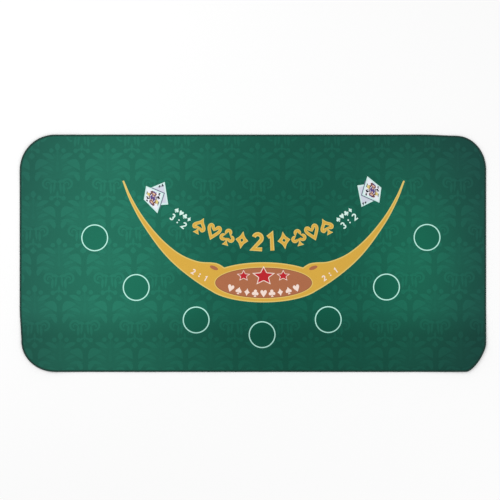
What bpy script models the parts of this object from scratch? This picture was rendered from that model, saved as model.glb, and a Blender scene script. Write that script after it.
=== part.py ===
"""Roll-up blackjack table mat: a printed cloth on a rubber foam core, overlocked all round.

Frame: +X runs along the mat, +Y points to the dealer's side and +Z points up. The origin is
the centre of the underside, on the surface that the mat is laid on. Lengths are in metres.

The three layers are cut together to one outline. Along the cut edge the overlock presses them
into a thin rim, so that its thread lies flush with the underside. Heights are worked out from
the underside upwards, first for the flat field and then for the pressed rim.
"""

import math

import bmesh
import bpy

# The mat as it lies
LENGTH = 1.800
WIDTH = 0.916
CORNER_RADIUS = 0.125
CORNER_STEPS = 16

# The layers, and the clearance kept between neighbours
CLEARANCE = 0.0003
BACKING_THICKNESS = 0.0007
FOAM_THICKNESS = 0.0016
CLOTH_THICKNESS = 0.0004

# The overlocked edge
THREAD_THICKNESS = 0.0004
PRESSED_FOAM = 0.0004
SEAM_WIDTH = 0.0056
NEEDLE_WIDTH = 0.0006
RAMP_WIDTH = 0.0015

# Heights in the flat field
FOAM_BOTTOM = BACKING_THICKNESS + CLEARANCE
FOAM_TOP = FOAM_BOTTOM + FOAM_THICKNESS
CLOTH_BOTTOM = FOAM_TOP + CLEARANCE

# Heights in the pressed rim
RIM_BACKING_BOTTOM = THREAD_THICKNESS + CLEARANCE
RIM_FOAM_BOTTOM = RIM_BACKING_BOTTOM + BACKING_THICKNESS + CLEARANCE
RIM_FOAM_TOP = RIM_FOAM_BOTTOM + PRESSED_FOAM
RIM_CLOTH_BOTTOM = RIM_FOAM_TOP + CLEARANCE
UPPER_BAND_BOTTOM = RIM_CLOTH_BOTTOM + CLOTH_THICKNESS + CLEARANCE
UPPER_BAND_TOP = UPPER_BAND_BOTTOM + THREAD_THICKNESS
LOOPER_MEETING = UPPER_BAND_TOP / 2

# Insets from the outer edge
CUT_EDGE = THREAD_THICKNESS + CLEARANCE
NEEDLE_OUTER = SEAM_WIDTH + CLEARANCE
NEEDLE_INNER = NEEDLE_OUTER + NEEDLE_WIDTH
RAMP_OUTER = NEEDLE_INNER + CLEARANCE
RAMP_INNER = RAMP_OUTER + RAMP_WIDTH
REBATE_INNER = RAMP_INNER + CLEARANCE

CUTTER_MARGIN = 0.002

GREEN = (0.014, 0.150, 0.098, 1.0)
DARK_GREEN = (0.009, 0.030, 0.024, 1.0)
CHARCOAL = (0.020, 0.021, 0.022, 1.0)
BLACK = (0.012, 0.012, 0.013, 1.0)


def clear_scene():
    """Removes what a new Blender file starts with."""
    for old in list(bpy.data.objects):
        bpy.data.objects.remove(old, do_unlink=True)


def new_collection(name):
    collection = bpy.data.collections.new(name)
    bpy.context.scene.collection.children.link(collection)
    return collection


def make_material(name, colour, roughness):
    """A plain Principled finish; no piece of the mat is metal."""
    material = bpy.data.materials.new(name)
    material.use_nodes = True
    shader = material.node_tree.nodes["Principled BSDF"]
    shader.inputs["Base Color"].default_value = colour
    shader.inputs["Roughness"].default_value = roughness
    shader.inputs["Metallic"].default_value = 0.0
    material.diffuse_color = colour
    return material


def outline(inset):
    """The mat's rounded rectangle, this far in from its outer edge, anticlockwise from above."""
    radius = CORNER_RADIUS - inset
    half_length = LENGTH / 2 - CORNER_RADIUS
    half_width = WIDTH / 2 - CORNER_RADIUS
    centres = ((1, 1), (-1, 1), (-1, -1), (1, -1))
    points = []
    for quarter, (side_x, side_y) in enumerate(centres):
        for step in range(CORNER_STEPS + 1):
            angle = (quarter + step / CORNER_STEPS) * math.pi / 2
            x = side_x * half_length + radius * math.cos(angle)
            y = side_y * half_width + radius * math.sin(angle)
            points.append((x, y))
    return points


def add_spline(curve, points):
    """Adds one closed run of straight stretches through the points."""
    spline = curve.splines.new("POLY")
    spline.points.add(len(points) - 1)
    for point, (x, y) in zip(spline.points, points):
        point.co = (x, y, 0.0, 1.0)
    spline.use_cyclic_u = True


def flat_plate(name, insets, bottom, top, collection):
    """A plate with vertical edges; a second inset leaves a ring, open inside."""
    curve = bpy.data.curves.new(name, "CURVE")
    curve.dimensions = "2D"
    curve.fill_mode = "BOTH"
    curve.extrude = (top - bottom) / 2
    for inset in insets:
        add_spline(curve, outline(inset))
    plate = bpy.data.objects.new(name, curve)
    plate.location.z = (bottom + top) / 2
    collection.objects.link(plate)
    return plate


def as_mesh(curve_object, collection):
    """The same object as a mesh with its caps welded, which Boolean modifiers need."""
    name = curve_object.name
    bpy.context.view_layer.update()
    evaluated = curve_object.evaluated_get(bpy.context.evaluated_depsgraph_get())
    mesh = bpy.data.meshes.new_from_object(evaluated)
    place = curve_object.matrix_world.copy()
    bpy.data.objects.remove(curve_object, do_unlink=True)

    shape = bmesh.new()
    shape.from_mesh(mesh)
    bmesh.ops.remove_doubles(shape, verts=shape.verts, dist=0.00001)
    bmesh.ops.recalc_face_normals(shape, faces=shape.faces)
    shape.to_mesh(mesh)
    shape.free()

    mesh_object = bpy.data.objects.new(name, mesh)
    mesh_object.matrix_world = place
    collection.objects.link(mesh_object)
    return mesh_object


def make_cutter(name, insets, bottom, top, cutters):
    """A hidden ring that takes a rebate out of the foam."""
    cutter = as_mesh(flat_plate(name, insets, bottom, top, cutters), cutters)
    cutter.hide_render = True
    cutter.display_type = "WIRE"
    return cutter


def pressed_sheet(name, thickness, field_bottom, rim_bottom, material, collection):
    """A thin sheet that ramps from the flat field's level to the rim's, just inside the seam."""
    shape = bmesh.new()
    corners = [shape.verts.new((x, y, rim_bottom)) for x, y in outline(CUT_EDGE)]
    field = shape.faces.new(corners)
    for width in (RAMP_OUTER - CUT_EDGE, RAMP_WIDTH):
        shape.normal_update()
        bmesh.ops.inset_region(shape, faces=[field], thickness=width, use_boundary=True)
    for corner in field.verts:
        corner.co.z = field_bottom
    mesh = bpy.data.meshes.new(name)
    shape.to_mesh(mesh)
    shape.free()
    mesh.materials.append(material)

    sheet = bpy.data.objects.new(name, mesh)
    collection.objects.link(sheet)
    solidify = sheet.modifiers.new("thickness", "SOLIDIFY")
    solidify.thickness = thickness
    solidify.offset = 1.0
    solidify.use_even_offset = True
    return sheet


def foam_core(material, collection, cutters):
    """The foam plate, thinned above and below where the overlock presses it."""
    plate = flat_plate("foam_core", [CUT_EDGE], FOAM_BOTTOM, FOAM_TOP, collection)
    foam = as_mesh(plate, collection)
    foam.data.materials.append(material)
    ring = (-CUTTER_MARGIN, REBATE_INNER)
    rebates = (
        ("lower_rebate", FOAM_BOTTOM - CUTTER_MARGIN, RIM_FOAM_BOTTOM),
        ("upper_rebate", RIM_FOAM_TOP, FOAM_TOP + CUTTER_MARGIN),
    )
    for name, bottom, top in rebates:
        cut = foam.modifiers.new(name, "BOOLEAN")
        cut.operation = "DIFFERENCE"
        cut.solver = "MANIFOLD"  # EXACT leaves open edges where the second rebate is cut
        cut.object = make_cutter(name, ring, bottom, top, cutters)
    return foam


def thread_band(name, section, material, collection, cutters):
    """Thread laid side by side all round the edge: a section of (inset, height) points swept."""
    profile_curve = bpy.data.curves.new(name + "_section", "CURVE")
    profile_curve.dimensions = "2D"
    add_spline(profile_curve, [(-inset, height) for inset, height in section])
    profile = bpy.data.objects.new(name + "_section", profile_curve)
    profile.hide_render = True
    profile.display_type = "WIRE"
    cutters.objects.link(profile)

    path = bpy.data.curves.new(name, "CURVE")
    path.dimensions = "3D"
    path.twist_mode = "Z_UP"
    path.bevel_mode = "OBJECT"
    path.bevel_object = profile
    add_spline(path, outline(0.0))
    path.materials.append(material)
    band = bpy.data.objects.new(name, path)
    collection.objects.link(band)
    return band


def upper_looper_section():
    """An L over the top of the rim and down the upper half of its edge."""
    return [
        (0.0, LOOPER_MEETING + CLEARANCE / 2),
        (THREAD_THICKNESS, LOOPER_MEETING + CLEARANCE / 2),
        (THREAD_THICKNESS, UPPER_BAND_BOTTOM),
        (SEAM_WIDTH, UPPER_BAND_BOTTOM),
        (SEAM_WIDTH, UPPER_BAND_TOP),
        (0.0, UPPER_BAND_TOP),
    ]


def lower_looper_section():
    """An L under the rim and up the lower half of its edge, which the mat's edge rests on."""
    return [
        (0.0, 0.0),
        (SEAM_WIDTH, 0.0),
        (SEAM_WIDTH, THREAD_THICKNESS),
        (THREAD_THICKNESS, THREAD_THICKNESS),
        (THREAD_THICKNESS, LOOPER_MEETING - CLEARANCE / 2),
        (0.0, LOOPER_MEETING - CLEARANCE / 2),
    ]


def needle_section():
    """The straight line of needle thread along the inner side of the seam."""
    return [
        (NEEDLE_OUTER, UPPER_BAND_BOTTOM),
        (NEEDLE_INNER, UPPER_BAND_BOTTOM),
        (NEEDLE_INNER, UPPER_BAND_TOP),
        (NEEDLE_OUTER, UPPER_BAND_TOP),
    ]


def main():
    clear_scene()
    mat = new_collection("blackjack_mat")
    cutters = new_collection("cutters_and_sections")

    cloth_finish = make_material("printed_cloth", GREEN, 0.85)
    foam_finish = make_material("foam_core", CHARCOAL, 0.90)
    backing_finish = make_material("antislip_backing", BLACK, 0.75)
    thread_finish = make_material("overlock_thread", DARK_GREEN, 0.60)

    pressed_sheet(
        "antislip_backing", BACKING_THICKNESS, 0.0, RIM_BACKING_BOTTOM, backing_finish, mat
    )
    foam_core(foam_finish, mat, cutters)
    pressed_sheet(
        "printed_cloth", CLOTH_THICKNESS, CLOTH_BOTTOM, RIM_CLOTH_BOTTOM, cloth_finish, mat
    )
    threads = (
        ("upper_looper_thread", upper_looper_section()),
        ("lower_looper_thread", lower_looper_section()),
        ("needle_thread", needle_section()),
    )
    for name, section in threads:
        thread_band(name, section, thread_finish, mat, cutters)


main()
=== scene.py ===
"""Looks of the roll-up blackjack mat: printed knit, foam, anti-slip rubber and overlock thread.

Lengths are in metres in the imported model's frame: +X along the mat, +Y towards the dealer, +Z up,
with the origin at the centre of the underside.
"""

import math

import bpy
import numpy as np
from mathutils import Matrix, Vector
from mathutils.geometry import delaunay_2d_cdt
from mathutils.kdtree import KDTree


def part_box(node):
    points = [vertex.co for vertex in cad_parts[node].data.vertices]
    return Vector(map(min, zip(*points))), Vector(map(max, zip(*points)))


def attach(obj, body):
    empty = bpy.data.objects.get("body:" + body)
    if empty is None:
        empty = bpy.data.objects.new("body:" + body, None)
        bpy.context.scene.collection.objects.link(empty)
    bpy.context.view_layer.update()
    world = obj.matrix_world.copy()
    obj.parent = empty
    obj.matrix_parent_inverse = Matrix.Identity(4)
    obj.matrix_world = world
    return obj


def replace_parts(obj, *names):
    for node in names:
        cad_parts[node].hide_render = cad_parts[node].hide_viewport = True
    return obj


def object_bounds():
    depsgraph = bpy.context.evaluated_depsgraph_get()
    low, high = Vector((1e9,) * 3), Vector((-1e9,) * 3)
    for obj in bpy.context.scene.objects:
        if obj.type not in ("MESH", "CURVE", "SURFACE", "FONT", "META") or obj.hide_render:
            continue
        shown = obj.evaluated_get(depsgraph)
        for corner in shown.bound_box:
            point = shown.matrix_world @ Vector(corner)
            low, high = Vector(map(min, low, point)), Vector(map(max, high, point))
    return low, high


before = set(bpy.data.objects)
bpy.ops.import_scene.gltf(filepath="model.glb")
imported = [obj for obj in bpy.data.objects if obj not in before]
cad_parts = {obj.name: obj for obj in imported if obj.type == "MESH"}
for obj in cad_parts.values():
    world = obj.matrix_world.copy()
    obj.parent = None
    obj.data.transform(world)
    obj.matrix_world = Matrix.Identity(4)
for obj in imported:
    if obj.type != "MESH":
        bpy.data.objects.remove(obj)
cad_low, cad_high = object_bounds()
cloth_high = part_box("printed_cloth")[1]
needle_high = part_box("needle_thread")[1]

# ---- heights and insets
# Insets are measured inwards from the mat's outer edge, which is the outside of its stitches. The
# seam squeezes the layers from both sides, and a ramp leads from the seam up to the field.
HALF_LENGTH = cad_high.x
HALF_WIDTH = cad_high.y
NEEDLE_WIDTH = 0.0006
RAMP_GAP = 0.0006
RAMP_WIDTH = 0.0016
PRINT_GAP = 0.0009
CUT_EDGE = HALF_LENGTH - cloth_high.x
NEEDLE_LINE = HALF_LENGTH - needle_high.x + NEEDLE_WIDTH / 2
RAMP_OUTER = NEEDLE_LINE + RAMP_GAP
RAMP_INNER = RAMP_OUTER + RAMP_WIDTH
PRINT_LIMIT = RAMP_INNER + PRINT_GAP

CLOTH_TOP = cloth_high.z
CLOTH_THICKNESS = 0.0004
BACKING_THICKNESS = 0.0007
SQUEEZE_TOP = 0.0005
SQUEEZE_UNDER = 0.0007
BOND = 0.00005
# The cloth's cut edge is rounded this far down and in, and the needle thread dents the cloth.
EDGE_ROUNDING = 0.00012
EDGE_ROUNDING_IN = 0.0004
NEEDLE_DENT = 0.0001
# Steps of the grids that fill the printed side and the hidden sides, and how far their points
# keep from the ramp and from the printed edges.
PRINT_GRID = 0.014
HIDDEN_GRID = 0.018
GRID_MARGIN = RAMP_INNER + 0.004
PRINT_CLEARANCE = 0.0035

# ---- the outline
OUTLINE_POINTS = 720
FINE_POINTS = 4 * OUTLINE_POINTS
OUTLINE_SMOOTHING = 0.008
PULL_REACH = 0.125
# Each corner, anticlockwise: its side of x and y, its reach along x and y, its fullness (2 is
# round), and how far the two sides that meet there are pulled in, along x and along y.
CORNERS = (
    (1, 1, 0.114, 0.131, 1.97, 0.0, 0.0045),
    (-1, 1, 0.135, 0.138, 2.0, 0.0, 0.0),
    (-1, -1, 0.131, 0.119, 2.0, 0.0066, 0.0),
    (1, -1, 0.0735, 0.107, 1.40, 0.0, 0.0),
)

# ---- how the mat lies
# Soft waves across the mat: centre along x, slant, half-width and height.
WAVES = (
    (-0.74, 0.10, 0.075, 0.0016),
    (-0.47, -0.06, 0.095, 0.0010),
    (-0.13, 0.05, 0.120, 0.0006),
    (0.28, -0.08, 0.110, 0.0007),
    (0.61, 0.12, 0.085, 0.0012),
)
# Corners that haven't settled since the mat was rolled up: side of x and y, reach and height.
# Each keeps its height for the first stretch.
CURL_TOP = 0.03
CURLS = (
    (1, 1, 0.20, 0.0022),
    (-1, 1, 0.22, 0.0030),
    (-1, -1, 0.24, 0.0042),
    (1, -1, 0.26, 0.0055),
)

# ---- the printed layout
# Places in the layout are measured from its own middle, which is this far right of the mat's.
PRINT_X = 0.0413
BETTING_SPOTS = (
    (-0.6516, 0.0597),
    (-0.4915, -0.1319),
    (-0.2603, -0.2572),
    (-0.0058, -0.3140),
    (0.2493, -0.2558),
    (0.4741, -0.1301),
    (0.6305, 0.0614),
)
SPOT_RADIUS = 0.0497
SPOT_LINE = 0.0044
# The gold band's light edge, and the oval panel on it by its middle and half-sizes. The brown
# oval in the panel has two edges.
GOLD_LINE = 0.0042
PANEL = (0, -0.1120, 0.2250, 0.0773)
BROWN_Y = -0.1139
BROWN_OVALS = (
    ("gold_edge", 0.1900, 0.0620),
    ("brown_edge", 0.1868, 0.0588),
    ("brown", 0.1842, 0.0562),
)
# The panel's stars: their points and inner radius as a share of the outer, and for each its
# middle, half-width, half-height and the line round it.
STAR_POINTS = 5
STAR_CORE = 0.46
STARS = (
    (0.0, -0.0885, 0.0465, 0.0390, 0.0029),
    (-0.0774, -0.0868, 0.0275, 0.0226, 0.0021),
    (0.0757, -0.0868, 0.0275, 0.0226, 0.0021),
)
# The small ovals beside the panel: middle, half-sizes and tilt in degrees.
SIDE_OVALS = (
    (-0.1915, -0.0560, 0.0170, 0.0070, -23),
    (0.1915, -0.0560, 0.0170, 0.0070, 20),
)
# Arcs that the printed rows stand on: height of the centre and radius.
DEALER_ARC = (0.5580, 0.5140)
PANEL_ARC = (0.2470, 0.4020)
# The dealer's arc: heights of its suits and figures, each figure's place in degrees, and the
# suits' first place, step and shift in degrees, going outwards on both sides.
BIG_SUIT = 0.066
BIG_FIGURE = 0.069
BIG_TWO = -2.6
BIG_ONE = 3.2
BIG_FIRST = 9.1
BIG_STEP = 6.4
BIG_SHIFT = -0.3
# In shares of their height: how far inside a suit's outline the edges of its line lie, and the
# figures' weights.
BIG_LINES = (("gold_edge", (0.0, 0.185)), ("gold", (0.035, 0.150)))
BIG_WEIGHTS = (("gold_edge", 0.225), ("gold", 0.125))
# The panel's row of suits: height, and step in degrees.
PANEL_SUIT = 0.0285
PANEL_STEP = 4.6
# Two rows on either side of the dealer's arc: their place in degrees, how far the lower row is
# moved out, and each row's height and advance.
SIDE_ROWS = 37.2
LOWER_ROW_OUT = 0.031
SMALL_SUITS = (0.020, 0.0195)
SMALL_FIGURES = (0.026, 0.0275)
# The payouts on the gold band: middle and tilt in degrees, and their height and advance.
BAND_ROWS = (
    (-0.2470, -0.0840, -29),
    (0.2560, -0.0805, 34),
)
BAND_FIGURES = (0.021, 0.0270)
# The longest steps along printed edges, and the share of its margin that a thinned shape keeps.
ART_STEP = 0.008
FINE_STEP = 0.003
ORNAMENT_STEP = 0.005
THINNED_KEEPS = 0.96
# The tone-on-tone ornament: its first place and the steps across and down a brick lattice.
ORNAMENT_FIRST = Vector((0.0182, 0.4176))
ORNAMENT_ACROSS = Vector((0.19305, 0.00055))
ORNAMENT_DOWN = Vector((0.0994, -0.1822))
ORNAMENT_ROWS = range(-1, 6)
ORNAMENT_COLUMNS = range(-8, 8)
# Printed cards, as the corners of each: top left, top right, bottom right, bottom left.
CARD_PAIRS = (
    (
        ((-0.4444, 0.2490), (-0.3815, 0.2753), (-0.3680, 0.1884), (-0.4309, 0.1834)),
        ((-0.4533, 0.2598), (-0.3853, 0.2309), (-0.4097, 0.1544), (-0.4622, 0.2077)),
    ),
    (
        ((0.4282, 0.2039), (0.3780, 0.1788), (0.3616, 0.2618), (0.4147, 0.2695)),
        ((0.4465, 0.1952), (0.3799, 0.2251), (0.4002, 0.2975), (0.4543, 0.2531)),
    ),
)

# ---- colours
# The ground's tones: factors on its colour, from plain ground to the ornament's lightest parts.
TONES = {
    "ground": 0.904,
    "veil": 0.971,
    "leaf": 1.023,
    "petal": 1.103,
    "spot": 0.898,
}
# The plain discs inside the rings are a purer green than the rest of the ground.
TINTS = {"spot": (0.76, 1.04, 0.99)}
INKS = {
    "line": "#BCF2E3",
    "text": "#DAF6EC",
    "gold": "#DAAC46",
    "gold_edge": "#E3C670",
    "brown": "#AF6D4C",
    "brown_edge": "#9B5C40",
    "red": "#BE2830",
    "cream": "#F6E0D4",
    "card_face": "#D1D6E3",
    "card_white": "#EDEFF6",
    "card_edge": "#D2EEEA",
    "card_shade": "#6D7288",
    "black": "#22242C",
    "purple": "#5C4C86",
    "robe": "#7A4C42",
    "straw": "#DCC97C",
    "skin": "#E8BFA4",
}
CLOTH_REVERSE = "#86A398"
THREAD_GREEN = "#0F372F"
# The ground's colour: a dark tone, three lighter glows that are partly a printed gradient and
# partly painted light from the left, and a darker strip of painted shade by the players.
# Each glow has its colour, centre and half-sizes.
GROUND = "#1C3E3D"
PRINT_AND_PAINTED_LIGHT_GLOWS = (
    ("#308970", (-0.389, -0.059), (0.548, 0.868)),
    ("#29896C", (0.554, -0.029), (0.223, 0.322)),
    ("#125A48", (0.151, -0.137), (0.762, 1.000)),
)
# Painted shade over the players' strip: how much darker it is, where it starts and how soft its
# edge is.
SHADE_STRIP_DARKER = 0.228
SHADE_STRIP_EDGE = -0.268
SHADE_STRIP_BLUR = 0.049
# Painted light on the other inks: their tone at the mat's middle, and how much it grows for each
# metre to the left.
INK_PAINTED_LIGHT_LEVEL = 0.97
INK_PAINTED_LIGHT_SLOPE = 0.07
# The knit: wales and courses to the metre, the depth of the bump between them, and how much
# grain and mottle change the tone.
KNIT_GAUGE = 1000
KNIT_DEPTH = 0.00030
KNIT_GRAIN = 0.45
KNIT_MOTTLE = 0.05

# ---- grip studs
# Square studs: their pitch, half the width of the flat face, the run of the sides and the height.
STUD_PITCH = 0.015
STUD_HALF = 0.0046
STUD_SLOPE = 0.0005
STUD_HEIGHT = 0.0003

# ---- stitches
# One stitch of each thread, as (share of the stitch, inset, height, facing), with lengths in
# millimetres. Facing is the side that the thread shows: 90 is up, 0 outwards and -90 down.
UPPER_COURSE = (
    (0.00, 6.20, 3.02, 90),
    (0.09, 4.60, 3.10, 90),
    (0.20, 2.60, 3.12, 90),
    (0.32, 0.75, 3.05, 75),
    (0.42, 0.28, 2.50, 10),
    (0.52, 0.24, 1.90, 0),
    (0.62, 0.28, 2.50, 10),
    (0.72, 0.80, 3.10, 75),
    (0.86, 3.30, 3.16, 90),
)
LOWER_COURSE = (
    (0.00, 6.20, 0.44, -90),
    (0.09, 4.60, 0.36, -90),
    (0.20, 2.60, 0.34, -90),
    (0.32, 0.75, 0.40, -75),
    (0.42, 0.28, 1.00, -10),
    (0.52, 0.26, 1.66, 0),
    (0.62, 0.28, 1.00, -10),
    (0.72, 0.80, 0.36, -75),
    (0.86, 3.30, 0.30, -90),
)
NEEDLE_COURSE = (
    (0.00, 6.20, 2.66, 90),
    (0.16, 6.16, 3.22, 90),
    (0.50, 6.10, 3.36, 90),
    (0.84, 6.16, 3.22, 90),
)
STITCH = 0.0026
THREAD_SIDES = 5
PLY_LENGTH = 0.0018
# Each thread: its piece, its node, its course, its width and thickness, how far its stitches are
# shifted, as a share of a stitch, and the seed of its small faults.
THREADS = (
    ("upper_thread", "upper_looper_thread", UPPER_COURSE, 0.00120, 0.00045, 0.00, 11),
    ("lower_thread", "lower_looper_thread", LOWER_COURSE, 0.00120, 0.00045, 0.25, 12),
    ("needle_run", "needle_thread", NEEDLE_COURSE, NEEDLE_WIDTH, 0.00035, 0.00, 13),
)
# A stitch's small faults: along the seam in stitches, and across it as a share of the inset.
WANDER_ALONG = 0.035
WANDER_ACROSS = 0.02

# ---- floor, light and camera
FLOOR_REACH = 30
FLOOR_DROP = 0.0002
FLOOR_COLOUR = "#FCFCFC"
# Each lamp: name, place, size and power.
LAMPS = (
    ("key", (-3.2, 2.2, 4.0), 3.0, 80),
    ("fill", (3.4, -1.8, 3.6), 3.5, 45),
)
CAMERA_HEIGHT = 6.0
CAMERA_X = -0.0112
CAMERA_Y = 0.0127
FRAME_WIDTH = 1.9290
SENSOR = 36.0
WORLD_STRENGTH = 0.74


# ==== plane geometry
def smooth_step(value):
    value = np.clip(value, 0.0, 1.0)
    return value * value * (3 - 2 * value)


def arc(x, y, radius, start, end, count=14):
    """Points on a circle's arc, with the angles in degrees."""
    angle = np.radians(np.linspace(start, end, count))
    return np.column_stack((x + radius * np.cos(angle), y + radius * np.sin(angle)))


def circle(x, y, radius, count=96):
    return arc(x, y, radius, 0, 360, count + 1)[:-1]


def moved(loop, place, turn=0.0, size=1.0):
    """A loop scaled, then turned, then moved to its place."""
    c = math.cos(turn)
    s = math.sin(turn)
    x, y = (np.asarray(loop, float) * size).T
    return np.column_stack((c * x - s * y + place[0], s * x + c * y + place[1]))


def ellipse(x, y, half_x, half_y, tilt=0.0, count=96):
    return moved(circle(0, 0, 1, count) * (half_x, half_y), (x, y), tilt)


def spline(points, per_span=8):
    """A smooth open curve through the points (Catmull-Rom)."""
    points = np.asarray(points, float)
    ends = (2 * points[0] - points[1], 2 * points[-1] - points[-2])
    guides = np.vstack((ends[:1], points, ends[1:]))
    t = np.linspace(0, 1, per_span, endpoint=False)[:, None]
    spans = []
    for a, b, c, d in zip(guides, guides[1:], guides[2:], guides[3:]):
        second = 2 * a - 5 * b + 4 * c - d
        third = 3 * (b - c) + d - a
        spans.append(b + t / 2 * (c - a + t * (second + t * third)))
    return np.vstack(spans + [points[-1:]])


def mirrored(half):
    """Closes a half outline, from top to bottom on the right, with its mirror image."""
    half = np.asarray(half)
    left = (half * (-1, 1))[::-1]
    keep_first = 0 if half[-1][0] > 1e-6 else 1
    keep_last = len(left) if half[0][0] > 1e-6 else len(left) - 1
    return np.vstack((half, left[keep_first:keep_last]))


def ribbon(line, width, taper=1.0):
    """The outline of a stroke along an open line; taper is its last width over its first."""
    line = np.asarray(line, float)
    steps = np.diff(line, axis=0)
    steps /= np.linalg.norm(steps, axis=1)[:, None]
    normals = np.column_stack((-steps[:, 1], steps[:, 0]))
    before = np.vstack((normals[:1], normals))
    after = np.vstack((normals, normals[-1:]))
    mitre = before + after
    mitre /= np.linalg.norm(mitre, axis=1)[:, None]
    reach = np.linspace(1, taper, len(line)) * width / 2
    reach /= np.maximum(np.sum(mitre * before, axis=1), 0.5)
    return np.vstack((line + mitre * reach[:, None], (line - mitre * reach[:, None])[::-1]))


def area(loop):
    """The area that a closed loop surrounds, above 0 where it runs anticlockwise."""
    x, y = loop.T
    return np.sum(x * np.roll(y, -1) - y * np.roll(x, -1)) / 2


def anticlockwise(loop):
    loop = np.asarray(loop, float)
    return loop if area(loop) > 0 else loop[::-1]


def dense(loop, step):
    """The loop with its long stretches split."""
    found = []
    for a, b in zip(loop, np.roll(loop, -1, axis=0)):
        count = max(1, math.ceil(np.linalg.norm(b - a) / step))
        found.append(a + (b - a) * np.linspace(0, 1, count, endpoint=False)[:, None])
    return np.vstack(found)


def normals_inwards(loop):
    """The inward normal at each point of an anticlockwise loop."""
    along = np.roll(loop, -1, axis=0) - np.roll(loop, 1, axis=0)
    along /= np.linalg.norm(along, axis=1)[:, None]
    return np.column_stack((-along[:, 1], along[:, 0]))


def tree_of(points):
    tree = KDTree(len(points))
    for number, (x, y) in enumerate(points):
        tree.insert((x, y, 0.0), number)
    tree.balance()
    return tree


def thinned(loop, margin):
    """A loop moved inwards by margin, without the parts that are too narrow for it."""
    loop = dense(anticlockwise(loop), margin / 3)
    tree = tree_of(loop)
    inner = loop + margin * normals_inwards(loop)
    clear = [tree.find((x, y, 0.0))[2] > THINNED_KEEPS * margin for x, y in inner]
    return inner[clear][::2]


def inside(points, loop):
    """Which points a closed loop surrounds, by counting crossings to their right."""
    x, y = points.T[:, :, None]
    ax, ay = loop.T
    bx, by = np.roll(loop, -1, axis=0).T
    rise = np.where(ay == by, 1.0, by - ay)
    crossed = ((ay > y) != (by > y)) & (x < (bx - ax) * (y - ay) / rise + ax)
    return crossed.sum(axis=1) % 2 == 1


def closed(loop):
    return np.vstack((loop, loop[:1]))


def run_along(line):
    """The distance travelled at each point of a line."""
    steps = np.linalg.norm(np.diff(line, axis=0), axis=1)
    return np.concatenate(([0], np.cumsum(steps)))


def resampled(loop, count):
    """The closed loop again, as evenly spaced points."""
    loop = closed(loop)
    run = run_along(loop)
    at = np.linspace(0, run[-1], count, endpoint=False)
    return np.column_stack([np.interp(at, run, part) for part in loop.T])


# ==== outline and lay
def corner_curve(corner, steps=40):
    """One corner of the edge, as a superellipse arc, in anticlockwise order."""
    side_x, side_y, reach_x, reach_y, fullness, pull_x, pull_y = corner
    angle = np.linspace(0, math.pi / 2, steps)
    if side_x * side_y < 0:
        angle = angle[::-1]
    x = HALF_LENGTH - pull_x - reach_x * (1 - np.abs(np.cos(angle)) ** (2 / fullness))
    y = HALF_WIDTH - pull_y - reach_y * (1 - np.abs(np.sin(angle)) ** (2 / fullness))
    return np.column_stack((side_x * x, side_y * y))


def side_line(start, end, steps=60):
    """The side between two corners: straight, but easing to where each corner pulls it in."""
    travelled = np.linspace(0, 1, steps + 2)[1:-1]
    length = np.linalg.norm(end - start)
    across = 1 if abs(end[0] - start[0]) > abs(end[1] - start[1]) else 0
    half = (HALF_LENGTH, HALF_WIDTH)[across]
    pull = (half - abs(start[across])) * smooth_step(1 - travelled * length / PULL_REACH)
    pull += (half - abs(end[across])) * smooth_step(1 - (1 - travelled) * length / PULL_REACH)
    line = start + (end - start) * travelled[:, None]
    line[:, across] = np.sign(start[across]) * (half - pull)
    return line


def edge_line():
    """The mat's outer edge as a dense anticlockwise loop, with its joins smoothed."""
    curves = [corner_curve(corner) for corner in CORNERS]
    runs = []
    for curve, following in zip(curves, curves[1:] + curves[:1]):
        runs += [curve, side_line(curve[-1], following[0])]
    loop = resampled(np.vstack(runs), FINE_POINTS)
    step = np.linalg.norm(loop[1] - loop[0])
    reach = round(3 * OUTLINE_SMOOTHING / step)
    shifts = np.arange(-reach, reach + 1)
    weights = np.exp(-0.5 * (shifts * step / OUTLINE_SMOOTHING) ** 2)
    weights /= weights.sum()
    return sum(weight * np.roll(loop, shift, axis=0) for shift, weight in zip(shifts, weights))


EDGE_LINE = edge_line()


def outline(inset, count=OUTLINE_POINTS):
    """The mat's edge moved inwards by inset."""
    loop = resampled(EDGE_LINE, count)
    return loop + inset * normals_inwards(loop)


def lift(points):
    """How far the mat stands off the floor at each point."""
    x, y = points.T
    height = np.zeros(len(points))
    for centre, slant, half_width, rise in WAVES:
        height += rise * np.exp(-(((x - centre - slant * y) / half_width) ** 2))
    for side_x, side_y, reach, rise in CURLS:
        away = np.hypot(side_x * HALF_LENGTH - x, side_y * HALF_WIDTH - y)
        height += rise * smooth_step(1 - (away - CURL_TOP) / reach)
    return height


# ==== glyphs, in a cell 1 high
def heart():
    side = [(0, 0.24), (0.09, 0.40), (0.25, 0.46), (0.40, 0.35), (0.41, 0.12)]
    side += [(0.24, -0.17), (0, -0.50)]
    return [mirrored(spline(side))]


def diamond():
    side = spline([(0, 0.52), (0.15, 0.22), (0.38, 0)], 6)
    return [mirrored(np.vstack((side, (side * (1, -1))[::-1][1:])))]


# The right half of the foot of a spade or a club.
STEM = [(0.045, -0.20), (0.075, -0.34), (0.20, -0.50), (0, -0.50)]


def spade():
    side = [(0, 0.50), (0.13, 0.26), (0.35, 0.04), (0.41, -0.14)]
    side += [(0.30, -0.29), (0.13, -0.26), (0.045, -0.16)]
    return [mirrored(np.vstack((spline(side), STEM)))]


def club():
    top = arc(0, 0.27, 0.215, 90, -48, 14)
    side = arc(0.235, -0.07, 0.215, 128, -150, 22)
    return [mirrored(np.vstack((top, side, STEM)))]


def two(weight):
    bow = arc(0, 0.20, 0.225, 165, -38)
    return [ribbon(np.vstack((bow, [(-0.235, -0.415), (0.27, -0.415)])), weight)]


def one(weight):
    return [ribbon([(-0.17, 0.25), (0.05, 0.42), (0.05, -0.50)], weight)]


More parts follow.
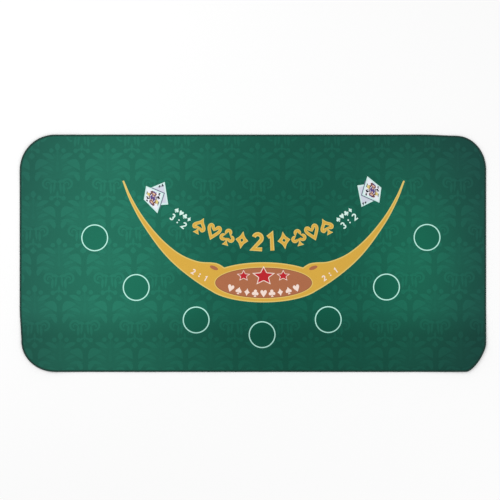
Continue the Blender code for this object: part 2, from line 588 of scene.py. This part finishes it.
def three(weight):
    bows = (arc(0, 0.205, 0.215, 150, -82), arc(0, -0.205, 0.225, 82, -150))
    return [ribbon(bow, weight) for bow in bows]


def colon(weight):
    return [circle(0, 0.20, weight * 0.6, 16), circle(0, -0.24, weight * 0.6, 16)]


def rank_ace(weight):
    legs = [(-0.30, -0.50), (0, 0.42), (0.30, -0.50)]
    bar = [(-0.2, -0.18), (0.2, -0.18)]
    return [ribbon(legs, weight), ribbon(bar, weight)]


def rank_king(weight):
    stem = [(-0.22, 0.50), (-0.22, -0.50)]
    arm = [(-0.20, -0.06), (0.26, 0.50)]
    leg = [(-0.04, 0.10), (0.28, -0.50)]
    return [ribbon(stroke, weight) for stroke in (stem, arm, leg)]


def star():
    """A star of radius 1 with a point at the top."""
    turns = np.arange(2 * STAR_POINTS)
    angle = math.pi / 2 + math.pi * turns / STAR_POINTS
    radius = np.where(turns % 2 == 0, 1.0, STAR_CORE)
    return np.column_stack((radius * np.cos(angle), radius * np.sin(angle)))


# ==== the ornament
def leaf(start, end, width, bow=0.0, steps=8):
    """A pointed leaf from start to end, bowed to its left by bow times its length."""
    start = np.array(start)
    along = np.array(end) - start
    side = np.array((-along[1], along[0]))
    t = np.linspace(0, 1, steps)[:, None]
    line = start + t * along + 4 * t * (1 - t) * bow * side
    edge = width / 2 * np.sin(math.pi * t) ** 0.75 * side / np.linalg.norm(side)
    return np.vstack((line + edge, (line - edge)[::-1][1:-1]))


def ornament():
    """A crown of buds over drooping leaves, two scrolls on stems and a drop, as (tone, loop)."""
    veil = [(0, -0.016), (0.014, -0.034), (0.040, -0.050), (0.058, -0.078), (0.076, -0.106)]
    veil += [(0.062, -0.124), (0.030, -0.131), (0, -0.129)]
    middle = [
        ("veil", mirrored(spline(veil, 4))),
        ("leaf", leaf((0, -0.060), (0, -0.014), 0.007)),
        ("leaf", leaf((0, -0.080), (0, -0.056), 0.010)),
        ("leaf", leaf((0, -0.104), (0, -0.076), 0.014)),
        ("petal", leaf((0, -0.206), (0, -0.174), 0.009)),
        ("petal", leaf((0, -0.020), (0, 0.010), 0.020)),
        ("petal", mirrored(spline([(0, -0.208), (0.012, -0.224), (0, -0.235)], 4))),
    ]
    half = [
        ("leaf", leaf((0.005, -0.050), (0.017, -0.030), 0.006, -0.08)),
        ("leaf", leaf((0.010, -0.066), (0.038, -0.053), 0.007, 0.05)),
        ("leaf", leaf((0.010, -0.082), (0.040, -0.069), 0.007)),
        ("leaf", leaf((0.016, -0.108), (0.054, -0.098), 0.007, 0.08)),
        ("leaf", leaf((0.022, -0.120), (0.060, -0.117), 0.007, 0.05)),
        ("petal", ribbon(arc(0.038, -0.147, 0.0180, 165, -95, 18), 0.0100, 0.75)),
        ("petal", ribbon(arc(0.036, -0.149, 0.0080, 175, -40, 10), 0.0055, 0.7)),
        ("petal", leaf((0.010, -0.138), (0.014, -0.182), 0.0090)),
        ("petal", leaf((0.024, -0.146), (0.026, -0.188), 0.0110)),
        ("petal", leaf((0.000, -0.141), (0.028, -0.137), 0.012, 0.06)),
        ("petal", leaf((0.002, -0.194), (0.020, -0.203), 0.008)),
        ("petal", circle(0.0235, -0.019, 0.0088, 14)),
        ("petal", leaf((0.012, -0.052), (0.060, -0.031), 0.018, 0.05)),
        ("petal", leaf((0.034, -0.064), (0.086, -0.094), 0.031, 0.23)),
        ("petal", leaf((0.016, -0.098), (0.058, -0.084), 0.014, 0.11)),
        ("petal", leaf((0.034, -0.112), (0.087, -0.107), 0.012, 0.06)),
        ("petal", leaf((0.062, -0.106), (0.083, -0.138), 0.019, 0.14)),
        ("petal", circle(0.0235, -0.203, 0.0088, 14)),
    ]
    return middle + half + [(tone, loop * (-1, 1)) for tone, loop in half]


# ==== the artwork
class Artwork:
    """Inked shapes in painting order. Each is a list of loops, and a place is on the shape where
    an odd number of them surround it."""

    def __init__(self):
        self.shapes = []

    def add(self, ink, *loops, step=ART_STEP):
        placed = [dense(anticlockwise(loop), step) + (PRINT_X, 0) for loop in loops]
        self.shapes.append((ink, placed))

    def add_glyph(self, ink, loops, place, turn, height):
        """Each stroke of a glyph is a shape of its own, so that strokes may cross."""
        for loop in loops:
            self.add(ink, moved(loop, place, turn, height))

    def add_row(self, ink, glyphs, centre, turn, height, advance):
        """Glyphs side by side on a straight line through centre."""
        for number, loops in enumerate(glyphs):
            run = (number - (len(glyphs) - 1) / 2) * advance
            place = (centre[0] + run * math.cos(turn), centre[1] + run * math.sin(turn))
            self.add_glyph(ink, loops, place, turn, height)


def on_arc(circle_of, degrees, outwards=0.0):
    """A place on an arc that hangs below its centre, and the turn of a glyph that stands there."""
    centre_y, radius = circle_of
    angle = math.radians(degrees)
    radius += outwards
    return (radius * math.sin(angle), centre_y - radius * math.cos(angle)), angle


def draw_ornaments(art):
    """The ornament all over the cloth, cut off at the seam."""
    limit = outline(PRINT_LIMIT, FINE_POINTS)
    inwards = normals_inwards(limit)
    tree = tree_of(limit)
    shapes = ornament()
    for row in ORNAMENT_ROWS:
        for column in ORNAMENT_COLUMNS:
            place = np.array(ORNAMENT_FIRST + column * ORNAMENT_ACROSS + row * ORNAMENT_DOWN)
            for tone, shape in shapes:
                loop = dense(anticlockwise(shape + place), ORNAMENT_STEP)
                nearest = [tree.find((x, y, 0.0))[1] for x, y in loop]
                beyond = np.sum((loop - limit[nearest]) * inwards[nearest], axis=1) < 0
                if beyond.all():
                    continue
                loop[beyond] = limit[nearest][beyond]
                art.shapes.append((tone, [loop]))


def draw_spots(art):
    """Rings round discs of plain ground."""
    for x, y in BETTING_SPOTS:
        art.add("spot", circle(x, y, SPOT_RADIUS))
        outer = circle(x, y, SPOT_RADIUS + SPOT_LINE / 2)
        art.add("line", outer, circle(x, y, SPOT_RADIUS - SPOT_LINE / 2))


def crescent():
    """The gold band from tip to tip, with a notch on either side of the oval panel."""
    lower = [(0, -0.1885), (0.100, -0.1805), (0.194, -0.150), (0.300, -0.0805)]
    lower += [(0.386, 0.0), (0.466, 0.110), (0.516, 0.203), (0.545, 0.279)]
    upper = [(0.5385, 0.2805), (0.5115, 0.220), (0.464, 0.140), (0.395, 0.057), (0.3245, -0.001)]
    upper += [(0.2555, -0.0305), (0.200, -0.0355), (0.174, -0.0410), (0.146, -0.0585)]
    return mirrored(np.vstack((spline(lower, 14), spline(upper), [(0, -0.100)])))


def draw_band(art):
    """The gold crescent with its oval panel and three stars."""
    shapes = (crescent(), ellipse(*PANEL, count=150))
    for shape in shapes:
        art.add("gold_edge", shape)
    for shape in shapes:
        art.add("gold", thinned(shape, GOLD_LINE))
    for ink, half_width, half_height in BROWN_OVALS:
        art.add(ink, ellipse(0, BROWN_Y, half_width, half_height, count=130))
    for x, y, half_width, half_height, line in STARS:
        outer = star() * (half_width, half_height) + (x, y)
        art.add("cream", outer)
        art.add("red", thinned(outer, line))
    for x, y, half_width, half_height, tilt in SIDE_OVALS:
        art.add("brown", ellipse(x, y, half_width, half_height, math.radians(tilt), count=36))


def draw_rows(art):
    """Outlined suits and figures on the dealer's arc, and suits on the panel's arc."""
    for side in (-1, 1):
        for number, suit in enumerate((diamond, club, heart, spade)):
            place, turn = on_arc(DEALER_ARC, side * (BIG_FIRST + BIG_STEP * number) + BIG_SHIFT)
            shape = suit()[0]
            for ink, margins in BIG_LINES:
                edges = [thinned(shape, margin) if margin else shape for margin in margins]
                edges = [moved(edge, place, turn, BIG_SUIT) for edge in edges]
                art.add(ink, *edges, step=FINE_STEP)
    for figure, degrees in ((two, BIG_TWO), (one, BIG_ONE)):
        place, turn = on_arc(DEALER_ARC, degrees)
        for ink, weight in BIG_WEIGHTS:
            art.add_glyph(ink, figure(weight), place, turn, BIG_FIGURE)
    suits = (heart, spade, diamond, club, heart, club, diamond, spade, heart)
    for number, suit in enumerate(suits):
        place, turn = on_arc(PANEL_ARC, (number - (len(suits) - 1) / 2) * PANEL_STEP)
        art.add_glyph("cream", suit(), place, turn, PANEL_SUIT)


def draw_odds(art):
    """The payouts: 3:2 under a row of suits beside the dealer's arc, and 2:1 on the band."""
    for side in (-1, 1):
        place, turn = on_arc(DEALER_ARC, side * SIDE_ROWS)
        art.add_row("text", [spade(), heart(), club(), diamond()], place, turn, *SMALL_SUITS)
        place, turn = on_arc(DEALER_ARC, side * SIDE_ROWS, LOWER_ROW_OUT)
        art.add_row("text", [three(0.20), colon(0.20), two(0.20)], place, turn, *SMALL_FIGURES)
    for x, y, tilt in BAND_ROWS:
        figures = [two(0.21), colon(0.24), one(0.21)]
        art.add_row("cream", figures, (x, y), math.radians(tilt), *BAND_FIGURES)


class Card:
    """A printed card that lies at an angle. Places on it run from 0 to 1 across and up."""

    def __init__(self, art, corners):
        self.art = art
        self.corners = [np.array(corner) for corner in corners]

    def add(self, ink, loop):
        top_left, top_right, bottom_right, bottom_left = self.corners
        u, v = np.asarray(loop, float).T[:, :, None]
        top = (1 - u) * top_left + u * top_right
        bottom = (1 - u) * bottom_left + u * bottom_right
        self.art.add(ink, v * top + (1 - v) * bottom)

    def add_twice(self, ink, loop):
        """A loop and its copy turned half round the card's centre."""
        loop = np.asarray(loop, float)
        self.add(ink, loop)
        self.add(ink, 1 - loop)

    def box(self, ink, margin):
        low = margin
        high = 1 - margin
        self.add(ink, [(low, low), (high, low), (high, high), (low, high)])


def draw_card(art, corners):
    """The blank of a card: its face inside a lighter border."""
    card = Card(art, corners)
    card.box("card_edge", 0.0)
    card.box("card_face", 0.085)
    return card


def draw_ace(art, corners):
    card = draw_card(art, corners)
    for loop in rank_ace(0.30):
        card.add_twice("black", loop * (0.17, 0.13) + (0.84, 0.90))
    card.add_twice("black", spade()[0] * (0.18, 0.13) + (0.66, 0.90))
    card.add("black", spade()[0] * (0.36, 0.30) + (0.5, 0.5))


def draw_king(art, corners):
    """A court card with a plain two-headed figure, on the shadow that it throws on the ace."""
    edge = np.array(corners)
    shadow = [edge[0] + 0.30 * (edge[1] - edge[0]), edge[1], edge[2] + 0.25 * (edge[1] - edge[2])]
    art.add("card_shade", ribbon(shadow, 0.0072))
    card = draw_card(art, corners)
    card.box("card_white", 0.085)
    for loop in rank_king(0.26):
        card.add_twice("black", loop * (0.15, 0.13) + (0.80, 0.87))
    card.add_twice("black", spade()[0] * (0.24, 0.19) + (0.79, 0.70))
    robe = [(0.21, 0.50), (0.22, 0.64), (0.36, 0.72), (0.62, 0.72), (0.70, 0.64), (0.74, 0.50)]
    card.add_twice("robe", robe)
    card.add_twice("purple", [(0.34, 0.50), (0.34, 0.66), (0.64, 0.66), (0.64, 0.50)])
    for side in (-1, 1):
        lapel = [(0.5 + side * 0.17, 0.52), (0.5 + side * 0.09, 0.68)]
        card.add_twice("card_white", ribbon(lapel, 0.030))
        trim = [(0.5 + side * 0.24, 0.52), (0.5 + side * 0.17, 0.66)]
        card.add_twice("black", ribbon(trim, 0.024))
    card.add_twice("skin", [(0.45, 0.61), (0.50, 0.55), (0.55, 0.61), (0.50, 0.67)])
    card.add_twice("robe", ellipse(0.48, 0.780, 0.185, 0.100, count=22))
    card.add_twice("skin", ellipse(0.50, 0.755, 0.080, 0.062, count=22))
    for x in (0.47, 0.53):
        card.add_twice("black", circle(x, 0.765, 0.009, 8))
    card.add_twice("black", ribbon([(0.475, 0.728), (0.525, 0.728)], 0.010))
    crown = [(0.40, 0.80), (0.37, 0.90), (0.45, 0.85), (0.50, 0.91)]
    crown += [(0.55, 0.85), (0.63, 0.90), (0.60, 0.80)]
    card.add_twice("purple", crown)
    card.add_twice("black", circle(0.42, 0.845, 0.030, 12))
    card.add_twice("straw", [(0.71, 0.36), (0.85, 0.36), (0.85, 0.54), (0.71, 0.54)])
    card.add_twice("black", ribbon([(0.88, 0.32), (0.88, 0.52)], 0.040))


def draw_cards(art):
    for back, front in CARD_PAIRS:
        draw_ace(art, back)
        draw_king(art, front)


# ==== layered meshes
def new_object(name, data):
    """An object put into the scene."""
    made = bpy.data.objects.new(name, data)
    bpy.context.scene.collection.objects.link(made)
    return made


class Sheet:
    """One side of a layer: loops and points in the plane, each with its height, triangulated."""

    def __init__(self, field_height):
        self.field_height = field_height
        self.coords = []
        self.heights = []
        self.edges = []

    def _loop(self, loop, height):
        first = len(self.coords)
        self.coords.extend(Vector(point) for point in loop)
        self.heights.extend([height] * len(loop))
        return list(range(first, first + len(loop)))

    def rim(self, levels):
        """Lines along the seam, as (inset, height). The first is the sheet's own edge."""
        for inset, height in levels:
            self.cuts([outline(inset)], height)

    def cuts(self, loops, height=None):
        """Closed lines that the triangles follow."""
        for loop in loops:
            numbers = self._loop(loop, self.field_height if height is None else height)
            self.edges.extend(zip(numbers, numbers[1:] + numbers[:1]))

    def fill(self, spacing, clearance=0.0):
        """An even grid over the field that keeps clear of what is there already."""
        grid = []
        for number, y in enumerate(np.arange(-HALF_WIDTH, HALF_WIDTH, spacing * math.sqrt(0.75))):
            start = -HALF_LENGTH + (spacing / 2 if number % 2 else 0)
            grid += [(x, y) for x in np.arange(start, HALF_LENGTH, spacing)]
        grid = np.array(grid)
        grid = grid[inside(grid, outline(GRID_MARGIN))]
        if clearance:
            tree = tree_of([tuple(point) for point in self.coords])
            grid = [point for point in grid if tree.find((*point, 0.0))[2] > clearance]
        self._loop(grid, self.field_height)

    def solve(self):
        """Triangulates, and lifts every point to its height above the floor."""
        solved = delaunay_2d_cdt(self.coords, self.edges, [], 1, 1e-7, True)
        found, _, triangles, origins, _, _ = solved
        flat = np.array([tuple(point) for point in found])
        height = np.full(len(flat), self.field_height)
        place_of = {}
        for number, sources in enumerate(origins):
            for source in sources:
                place_of[source] = number
                height[number] = self.heights[source]
        self.points = np.column_stack((flat, height + lift(flat)))
        self.triangles = np.array(triangles)
        self.edge = [place_of[number] for number in range(OUTLINE_POINTS)]
        return self


def seam_levels(field, squeeze):
    """Lines from the cut edge up the ramp to the field, which the seam squeezes by squeeze."""
    middle = (RAMP_OUTER + RAMP_INNER) / 2
    return [
        (CUT_EDGE, field - squeeze),
        (RAMP_OUTER, field - squeeze),
        (middle, field - squeeze / 2),
        (RAMP_INNER, field),
    ]


def hidden_side(height, squeeze):
    """A side with neither print nor studs."""
    side = Sheet(height)
    side.rim(seam_levels(height, squeeze))
    side.fill(HIDDEN_GRID)
    return side.solve()


def closed_body(name, top, under, materials, slots=None):
    """A closed mesh from a top and an underside that share their edge."""
    shift = len(top.points)
    walls = []
    for a, b, c, d in zip(top.edge, np.roll(top.edge, -1), under.edge, np.roll(under.edge, -1)):
        walls.append((a, c + shift, d + shift, b))
    faces = top.triangles.tolist() + (under.triangles[:, ::-1] + shift).tolist() + walls
    mesh = bpy.data.meshes.new(name)
    mesh.from_pydata(np.vstack((top.points, under.points)).tolist(), [], faces)
    for material in materials:
        mesh.materials.append(material)
    if slots is not None:
        own = np.full(len(faces), len(materials) - 1, np.int32)
        own[: len(slots)] = slots
        mesh.polygons.foreach_set("material_index", own)
    mesh.shade_smooth()
    mesh.set_sharp_from_angle(angle=math.radians(40))
    return new_object(name, mesh)


# ==== materials
def colour(code):
    """The linear colour of an sRGB code such as #1B5849."""
    levels = [int(code[k : k + 2], 16) / 255 for k in (1, 3, 5)]
    return [v / 12.92 if v <= 0.04045 else ((v + 0.055) / 1.055) ** 2.4 for v in levels] + [1.0]


def set_inputs(node, values):
    for name, value in values.items():
        node.inputs[name].default_value = value


class Field:
    """A number that varies over a surface. Arithmetic on it adds Math nodes."""

    def __init__(self, tree, socket):
        self.tree = tree
        self.socket = socket

    def math(self, operation, *terms):
        node = self.tree.nodes.new("ShaderNodeMath")
        node.operation = operation
        for place, term in enumerate((self, *terms)):
            if isinstance(term, Field):
                self.tree.links.new(term.socket, node.inputs[place])
            else:
                node.inputs[place].default_value = term
        return Field(self.tree, node.outputs[0])

    def clamped(self):
        field = self.math("ADD", 0.0)
        field.socket.node.use_clamp = True
        return field

    def __add__(self, other):
        return self.math("ADD", other)

    def __sub__(self, other):
        return self.math("SUBTRACT", other)

    def __mul__(self, other):
        return self.math("MULTIPLY", other)

    def __truediv__(self, other):
        return self.math("DIVIDE", other)


class Finish:
    """A procedural material on the Principled shader, painted in the piece's own metres."""

    def __init__(self, name, roughness, specular, sheen=0.0):
        self.material = bpy.data.materials.new(name)
        self.material.use_nodes = True
        self.tree = self.material.node_tree
        self.new = self.tree.nodes.new
        self.link = self.tree.links.new
        self.shader = self.tree.nodes["Principled BSDF"]
        set_inputs(self.shader, {"Roughness": roughness, "Specular IOR Level": specular})
        set_inputs(self.shader, {"Sheen Weight": sheen, "Sheen Roughness": 0.5})
        self.place = self.new("ShaderNodeTexCoord").outputs["Object"]

    def axis(self, name):
        split = self.new("ShaderNodeSeparateXYZ")
        self.link(self.place, split.inputs[0])
        return Field(self.tree, split.outputs[name])

    def attribute(self, name):
        node = self.new("ShaderNodeAttribute")
        node.attribute_name = name
        return Field(self.tree, node.outputs["Fac"])

    def noise(self, scale, stretch=(1, 1, 1), detail=2.0):
        """Soft random variation from 0 to 1, with scale features to the metre."""
        mapping = self.new("ShaderNodeMapping")
        mapping.inputs["Scale"].default_value = stretch
        self.link(self.place, mapping.inputs["Vector"])
        node = self.new("ShaderNodeTexNoise")
        set_inputs(node, {"Scale": scale, "Detail": detail})
        self.link(mapping.outputs[0], node.inputs["Vector"])
        return Field(self.tree, node.outputs["Fac"])

    def cells(self, scale):
        """Distance to the nearest of many scattered points, with scale cells to the metre."""
        node = self.new("ShaderNodeTexVoronoi")
        node.inputs["Scale"].default_value = scale
        self.link(self.place, node.inputs["Vector"])
        return Field(self.tree, node.outputs["Distance"])

    def feed(self, socket, given):
        """Gives a socket a plain colour or a blend."""
        if isinstance(given, list):
            socket.default_value = given[: len(socket.default_value)]
        else:
            self.link(given, socket)

    def blend(self, first, second, amount):
        """From the first colour to the second as amount goes from 0 to 1."""
        node = self.new("ShaderNodeMix")
        node.data_type = "RGBA"
        self.link(amount.socket, node.inputs["Factor"])
        self.feed(node.inputs[6], first)
        self.feed(node.inputs[7], second)
        return node.outputs[2]

    def tinted(self, given, factors):
        """A blend with its red, green and blue each multiplied by a factor."""
        node = self.new("ShaderNodeVectorMath")
        node.operation = "MULTIPLY"
        self.link(given, node.inputs[0])
        node.inputs[1].default_value = factors
        return node.outputs[0]

    def paint(self, given, tone):
        """The surface colour: a colour or a blend, times a tone near 1."""
        node = self.new("ShaderNodeVectorMath")
        node.operation = "SCALE"
        self.feed(node.inputs[0], given)
        self.link(tone.socket, node.inputs["Scale"])
        self.link(node.outputs[0], self.shader.inputs["Base Color"])

    def rough(self, amount):
        self.link(amount.socket, self.shader.inputs["Roughness"])

    def relief(self, height, depth, strength):
        """Bump from a height of 0 to 1 that stands for this many metres."""
        node = self.new("ShaderNodeBump")
        set_inputs(node, {"Distance": depth, "Strength": strength})
        self.link(height.socket, node.inputs["Height"])
        self.link(node.outputs[0], self.shader.inputs["Normal"])


def ground_blend(finish):
    """The ground's slow change of colour over the mat: partly a printed gradient, partly painted
    light that is brighter towards the left.
    """
    x = finish.axis("X")
    y = finish.axis("Y")
    blended = colour(GROUND)
    for code, centre, half in PRINT_AND_PAINTED_LIGHT_GLOWS:
        along = (x - centre[0]) / half[0]
        across = (y - centre[1]) / half[1]
        amount = ((along * along + across * across) * -1).math("EXPONENT")
        blended = finish.blend(blended, colour(code), amount)
    return blended


def strip_painted_shade(finish):
    """Painted shade: 1 over most of the mat, and darker in the players' strip."""
    above = (finish.axis("Y") - SHADE_STRIP_EDGE) / SHADE_STRIP_BLUR
    return above.math("MULTIPLY_ADD", 0.5, 0.5).clamped() * SHADE_STRIP_DARKER + (1 - SHADE_STRIP_DARKER)


def knit(name, ink=None, tone=1.0, tint=None):
    """Printed polyester knit in one ink, or in the ground's blend where no ink is given."""
    finish = Finish(name, roughness=0.85, specular=0.08, sheen=0.03)
    wales = finish.noise(KNIT_GAUGE, (1.0, 0.22, 1.0))
    courses = finish.noise(KNIT_GAUGE, (0.30, 1.0, 1.0))
    fibres = wales * 0.5 + courses * 0.5
    mottle = finish.noise(22, detail=3)
    grain_and_painted_shade = (fibres - 0.5) * KNIT_GRAIN + (mottle - 0.5) * KNIT_MOTTLE + tone
    # Painted shade: every tone and ink, the reverse too, is darker in the players' strip.
    grain_and_painted_shade = grain_and_painted_shade * strip_painted_shade(finish)
    if ink is None:
        blended = ground_blend(finish)
        if tint:
            blended = finish.tinted(blended, tint)
        finish.paint(blended, grain_and_painted_shade)
    else:
        # Painted light: each ink is brighter to the left and darker to the right.
        finish.paint(colour(ink), grain_and_painted_shade * (finish.axis("X") * -INK_PAINTED_LIGHT_SLOPE + INK_PAINTED_LIGHT_LEVEL))
    finish.rough(fibres * 0.2 + 0.74)
    finish.relief(fibres, KNIT_DEPTH, 0.8)
    return finish.material


def foam_finish():
    """Black closed-cell foam rubber, open where it was cut."""
    finish = Finish("foam_rubber", roughness=0.9, specular=0.2)
    pores = finish.cells(1800)
    mottle = finish.noise(60)
    # Painted shade in the pores: the colour is darkest in the same pits that the bump sinks.
    finish.paint(colour("#1D1F20"), pores * 0.5 + mottle * 0.3 + 0.6)
    finish.rough(mottle * 0.15 + 0.8)
    finish.relief(pores, 0.0003, 0.7)
    return finish.material


def backing_finish():
    """Black natural rubber with a fine pebbled, slightly dusty skin."""
    finish = Finish("anti_slip_rubber", roughness=0.75, specular=0.35)
    pebbles = finish.cells(900)
    dust = finish.noise(30, detail=4)
    # Painted shade in the pebbled skin's low spots, which the bump sinks; the dust is the rubber's
    # own.
    finish.paint(finish.blend(colour("#17181A"), colour("#2B2C2D"), dust), pebbles * 0.3 + 0.85)
    finish.rough(dust * 0.2 + 0.62)
    finish.relief(pebbles, 0.00025, 0.8)
    return finish.material


def thread_finish(name):
    """Twisted polyester thread: plies wind round it, with a soft sheen and loose fibres."""
    finish = Finish(name, roughness=0.62, specular=0.3, sheen=0.15)
    ply = (finish.attribute("ply") * (2 * math.pi)).math("SINE")
    fibres = finish.noise(2600, detail=3)
    batch = finish.noise(9)
    # Painted shade in the grooves between the plies, on top of the thread's own fibres and batch
    # colour.
    finish.paint(colour(THREAD_GREEN), ply * 0.10 + fibres * 0.35 + batch * 0.25 + 0.70)
    finish.rough(fibres * 0.2 + 0.5)
    finish.relief(ply * 0.5 + fibres * 0.3, 0.00012, 0.8)
    return finish.material


# ==== the pieces
def make_cloth():
    """The printed cloth: one closed sheet whose top is divided along the edges of the inks."""
    art = Artwork()
    draw_ornaments(art)
    draw_spots(art)
    draw_band(art)
    draw_rows(art)
    draw_odds(art)
    draw_cards(art)

    rim_top = CLOTH_TOP - SQUEEZE_TOP
    levels = seam_levels(CLOTH_TOP, SQUEEZE_TOP)
    levels[0] = (CUT_EDGE, rim_top - EDGE_ROUNDING)
    levels.insert(1, (CUT_EDGE + EDGE_ROUNDING_IN, rim_top))
    levels.insert(2, (NEEDLE_LINE, rim_top - NEEDLE_DENT))
    top = Sheet(CLOTH_TOP)
    top.rim(levels)
    for _, loops in art.shapes:
        top.cuts(loops)
    top.fill(PRINT_GRID, PRINT_CLEARANCE)
    top.solve()

    under = hidden_side(CLOTH_TOP - CLOTH_THICKNESS, SQUEEZE_TOP)

    names = list(TONES) + list(INKS)
    materials = []
    for name, tone in TONES.items():
        materials.append(knit("knit_" + name, tone=tone, tint=TINTS.get(name)))
    for name, code in INKS.items():
        materials.append(knit("knit_" + name, code))
    materials.append(knit("knit_reverse", CLOTH_REVERSE))
    cloth = closed_body("cloth_sheet", top, under, materials, painted(art, top, names))
    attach(cloth, "root")
    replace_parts(cloth, "printed_cloth")
    return cloth


def painted(art, sheet, names):
    """The ink of each triangle: that of the last shape that covers its middle."""
    middles = sheet.points[sheet.triangles, :2].mean(axis=1)
    order = np.argsort(middles[:, 0])
    middles = middles[order]
    found = np.zeros(len(middles), int)
    for ink, loops in art.shapes:
        low = loops[0].min(axis=0)
        high = loops[0].max(axis=0)
        first, last = np.searchsorted(middles[:, 0], (low[0], high[0]))
        off_centre = np.abs(middles[first:last, 1] * 2 - low[1] - high[1])
        near = first + np.nonzero(off_centre < high[1] - low[1])[0]
        covered = np.zeros(len(near), bool)
        for loop in loops:
            covered ^= inside(middles[near], loop)
        found[near[covered]] = names.index(ink)
    slots = np.zeros(len(middles), np.int32)
    slots[order] = found
    return slots


def make_foam():
    """The foam core, bonded to the cloth above and to the backing below."""
    top = hidden_side(CLOTH_TOP - CLOTH_THICKNESS - BOND, SQUEEZE_TOP)
    under = hidden_side(BACKING_THICKNESS + BOND, -SQUEEZE_UNDER)
    foam = closed_body("foam_layer", top, under, [foam_finish()])
    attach(foam, "root")
    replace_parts(foam, "foam_core")
    return foam


def make_backing():
    """The rubber backing: smooth on the foam's side, with low square studs underneath."""
    top = hidden_side(BACKING_THICKNESS, -SQUEEZE_UNDER)
    under = Sheet(STUD_HEIGHT)
    under.rim(seam_levels(STUD_HEIGHT, STUD_HEIGHT - SQUEEZE_UNDER))
    square = np.array([(-1, -1), (1, -1), (1, 1), (-1, 1)])
    columns = round(HALF_LENGTH / STUD_PITCH)
    rows = round(HALF_WIDTH / STUD_PITCH)
    places = [(i, j) for i in range(-columns, columns) for j in range(-rows, rows)]
    centres = STUD_PITCH * np.array(places)
    centres = centres[inside(centres, outline(RAMP_INNER + STUD_PITCH))]
    under.cuts([centre + (STUD_HALF + STUD_SLOPE) * square for centre in centres], STUD_HEIGHT)
    under.cuts([centre + STUD_HALF * square for centre in centres], 0.0)
    under.solve()
    backing = closed_body("grip_backing", top, under, [backing_finish()])
    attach(backing, "root")
    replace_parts(backing, "antislip_backing")
    return backing


def make_thread(name, course, width, thickness, shift, seed):
    """A thread sewn all the way round: a tube that repeats its course once for each stitch."""
    line = resampled(EDGE_LINE, FINE_POINTS)
    normals = normals_inwards(line)
    run = run_along(closed(line))
    stitches = round(run[-1] / STITCH)
    random = np.random.default_rng(seed)
    share, inset, height, facing = np.array(course).T
    wander = random.normal(0, WANDER_ALONG, (stitches, len(course)))
    along = (np.arange(stitches)[:, None] + share + shift + wander) % stitches
    along = along.ravel() * run[-1] / stitches
    inset = inset * (1 + random.normal(0, WANDER_ACROSS, (stitches, len(course))))
    inset = inset.ravel() / 1000
    height = np.tile(height, stitches) / 1000
    angle = np.radians(np.tile(facing, stitches))

    flat = np.column_stack([np.interp(along, run, part) for part in closed(line).T])
    inwards = np.column_stack([np.interp(along, run, part) for part in closed(normals).T])
    flat = flat + inwards * inset[:, None]
    centre = np.column_stack((flat, height + lift(flat)))

    tangent = np.roll(centre, -1, axis=0) - np.roll(centre, 1, axis=0)
    tangent /= np.linalg.norm(tangent, axis=1)[:, None]
    shown = np.column_stack((-inwards * np.cos(angle)[:, None], np.sin(angle)))
    across = np.cross(tangent, shown)
    across /= np.linalg.norm(across, axis=1)[:, None]
    shown = np.cross(across, tangent)
    rings = []
    for turn in np.arange(THREAD_SIDES) * 2 * math.pi / THREAD_SIDES:
        sideways = across * math.cos(turn) * width / 2
        rings.append(centre + sideways + shown * math.sin(turn) * thickness / 2)
    points = np.stack(rings, axis=1).reshape(-1, 3)

    first = np.arange(len(centre))[:, None] * THREAD_SIDES
    following = np.roll(first, -1)
    corner = np.arange(THREAD_SIDES)
    next_corner = (corner + 1) % THREAD_SIDES
    quads = (first + corner, first + next_corner, following + next_corner, following + corner)
    quads = np.stack(quads, axis=2)
    mesh = bpy.data.meshes.new(name)
    mesh.from_pydata(points.tolist(), [], quads.reshape(-1, 4).tolist())
    mesh.shade_smooth()
    winding = run_along(centre)[:, None] / PLY_LENGTH + corner / THREAD_SIDES
    mesh.attributes.new("ply", "FLOAT", "POINT").data.foreach_set("value", winding.ravel())
    mesh.materials.append(thread_finish(name + "_finish"))
    thread = new_object(name, mesh)
    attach(thread, "root")
    return thread


# ==== floor, light and camera
def make_floor():
    mesh = bpy.data.meshes.new("floor")
    corners = [(-1, -1, 0), (1, -1, 0), (1, 1, 0), (-1, 1, 0)]
    corners = [Vector(corner) * FLOOR_REACH for corner in corners]
    mesh.from_pydata(corners, [], [(0, 1, 2, 3)])
    floor = new_object("floor", mesh)
    floor.location.z = -FLOOR_DROP
    material = bpy.data.materials.new("floor_paint")
    material.use_nodes = True
    shader = material.node_tree.nodes["Principled BSDF"]
    set_inputs(shader, {"Roughness": 0.9, "Specular IOR Level": 0.0})
    set_inputs(shader, {"Base Color": colour(FLOOR_COLOUR)})
    mesh.materials.append(material)


def make_light(name, place, size, power):
    """A large soft lamp that faces the middle of the mat."""
    lamp = bpy.data.lights.new(name, "AREA")
    lamp.shape = "SQUARE"
    lamp.size = size
    lamp.energy = power
    holder = new_object(name, lamp)
    holder.location = place
    holder.rotation_euler = Vector(place).to_track_quat("Z", "Y").to_euler()


def make_studio():
    world = bpy.data.worlds.new("studio")
    world.use_nodes = True
    background = world.node_tree.nodes["Background"]
    set_inputs(background, {"Color": (1, 1, 1, 1), "Strength": WORLD_STRENGTH})
    bpy.context.scene.world = world
    bpy.context.scene.view_settings.view_transform = "Standard"
    for name, place, size, power in LAMPS:
        make_light(name, place, size, power)


def make_camera():
    """Straight above the mat, with the dealer's side at the top of the frame."""
    data = bpy.data.cameras.new("camera")
    data.sensor_width = SENSOR
    data.lens = SENSOR * CAMERA_HEIGHT / FRAME_WIDTH
    data.clip_end = 100
    camera = new_object("camera", data)
    camera.location = (CAMERA_X, CAMERA_Y, CLOTH_TOP + CAMERA_HEIGHT)
    bpy.context.scene.camera = camera


make_camera()
foam = make_foam()
make_backing()
cloth = make_cloth()
float(area(outline(CUT_EDGE)))
for name, node, *sewing in THREADS:
    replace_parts(make_thread(name, *sewing), node)
make_floor()
make_studio()
